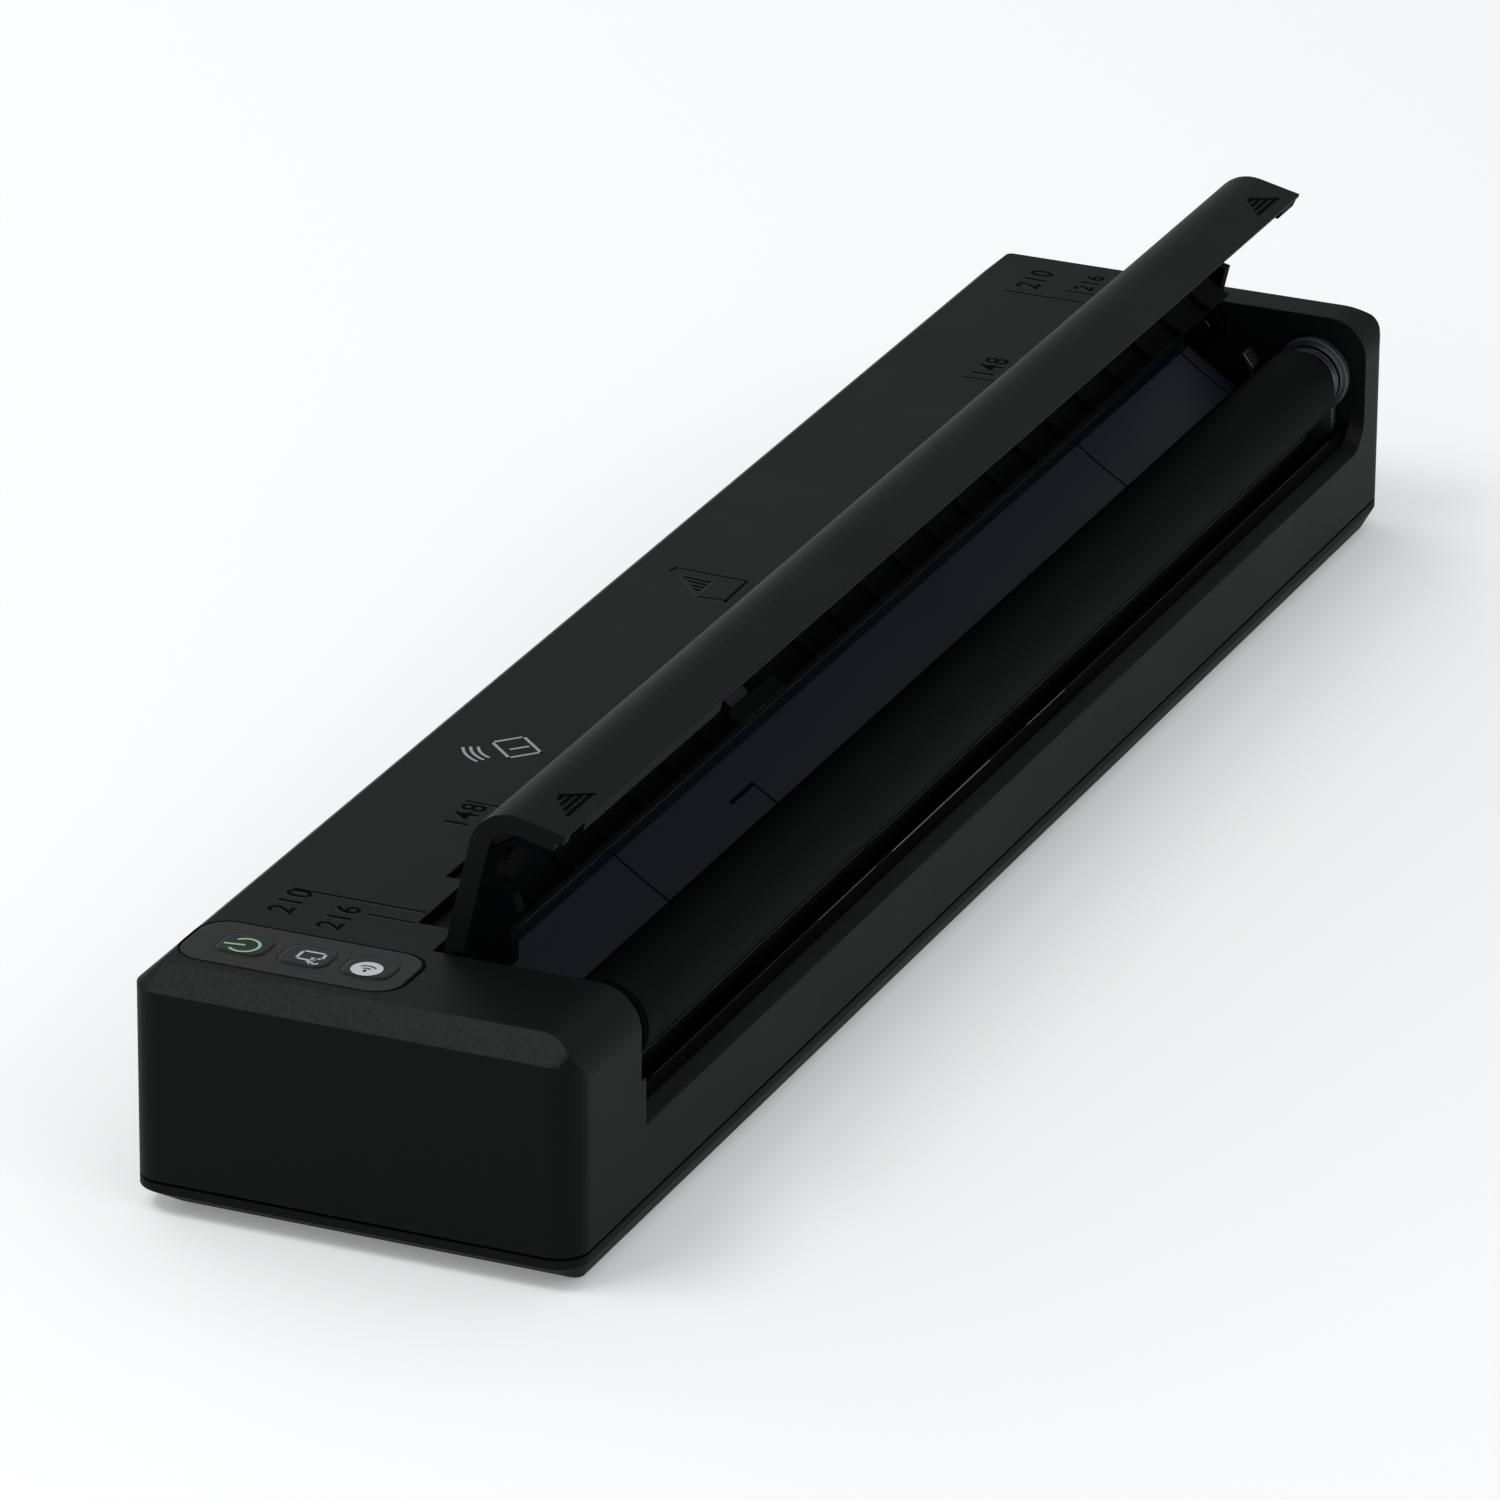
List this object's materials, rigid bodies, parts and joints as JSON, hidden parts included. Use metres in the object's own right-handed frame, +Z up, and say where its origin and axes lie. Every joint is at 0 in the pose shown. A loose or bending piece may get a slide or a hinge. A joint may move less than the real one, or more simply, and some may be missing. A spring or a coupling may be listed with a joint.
{
  "type": "portable thermal printer",
  "caption": "Slim battery thermal printer for full-width sheets: key block at one end, hinged release cover standing open over a rubber platen roller and a curved paper guide.",
  "frame": {"origin": "centre of the footprint, at the level the rubber feet stand on", "axes": "+X along the printer from the key block to the drive block, +Y from the paper exit to the rear, +Z up"},
  "size_m": [0.255, 0.055, 0.0479],
  "materials": {
    "housing": "fine spark-eroded grain",
    "tray": "matt grain",
    "key": "soft matt",
    "panel": "satin film",
    "black": "fine grain",
    "navy": "polished slide face",
    "rubber": "ground silicone",
    "foot": "matt",
    "steel": "zinc plated",
    "shaft": "ground",
    "bright": "turned",
    "bronze": "sintered",
    "brass": "machined",
    "alu": "extruded",
    "ceramic": "glazed",
    "gear": "acetal",
    "pcb": "solder mask",
    "wrap": "shrink film",
    "pad": "soft moulded rubber",
    "mat": "silicone"
  },
  "bodies": {
    "chassis": {"base_tray": "tray", "rubber_feet": "foot", "housing_screws": "steel", "upper_housing": "housing", "control_panel": "panel", "key_mat": "mat", "key_board": "pcb", "main_board": "pcb", "board_parts": "black", "charge_socket": "steel", "battery_pack": "wrap", "mechanism_frame": "steel", "frame_screws": "steel", "print_head": "ceramic", "heat_sink": "alu", "head_springs": "steel", "exit_guide": "black", "guide_near": "navy", "guide_middle": "navy", "guide_far": "navy", "guide_end": "navy", "paper_sensor": "black", "ground_clip": "steel", "bush_near": "bronze", "bush_far": "bright", "gear_plate": "steel", "stepper_motor": "steel"},
    "cover": {"release_cover": "housing", "cover_inner": "black", "cover_pad": "pad", "pad_spring": "steel", "hinge_pin_near": "shaft", "hinge_pin_far": "shaft"},
    "platen": {"platen_rubber": "rubber", "platen_shaft": "shaft", "roller_gear": "gear"},
    "idler_a": {"idler_gear_a": "gear"},
    "idler_b": {"idler_gear_b": "gear"},
    "pinion": {"motor_pinion": "brass"},
    "power_button": {"power_key": "key"},
    "feed_button": {"feed_key": "key"},
    "wireless_button": {"wireless_key": "key"}
  },
  "joints": [
    {"name": "cover_hinge", "type": "hinge", "parent": "chassis", "child": "cover", "pos_m": [0, -0.00557, 0.0269], "axis": [1, 0, 0], "range_deg": [0, 77]},
    {"name": "platen_spin", "type": "hinge", "parent": "chassis", "child": "platen", "pos_m": [0, -0.0207, 0.02245], "axis": [1, 0, 0], "continuous": true},
    {"name": "idler_a_spin", "type": "hinge", "parent": "chassis", "child": "idler_a", "pos_m": [0.1234, -0.01132, 0.01563], "axis": [1, 0, 0], "continuous": true},
    {"name": "idler_b_spin", "type": "hinge", "parent": "chassis", "child": "idler_b", "pos_m": [0.1234, 0.00367, 0.01747], "axis": [1, 0, 0], "continuous": true},
    {"name": "pinion_spin", "type": "hinge", "parent": "chassis", "child": "pinion", "pos_m": [0.118, 0.0134, 0.01326], "axis": [1, 0, 0], "continuous": true},
    {"name": "power_press", "type": "slide", "parent": "chassis", "child": "power_button", "axis": [0, 0, -1], "range_m": [0, 0.00035], "stiffness_N_per_m": 2000, "springref_m": -0.0002},
    {"name": "feed_press", "type": "slide", "parent": "chassis", "child": "feed_button", "axis": [0, 0, -1], "range_m": [0, 0.00035], "stiffness_N_per_m": 2000, "springref_m": -0.0002},
    {"name": "wireless_press", "type": "slide", "parent": "chassis", "child": "wireless_button", "axis": [0, 0, -1], "range_m": [0, 0.00035], "stiffness_N_per_m": 2000, "springref_m": -0.0002}
  ],
  "couplings": [
    {"joint": "idler_a_spin", "follows": "platen_spin", "ratio": -0.53333},
    {"joint": "idler_b_spin", "follows": "platen_spin", "ratio": 0.53333},
    {"joint": "pinion_spin", "follows": "platen_spin", "ratio": -1.3333}
  ]
}
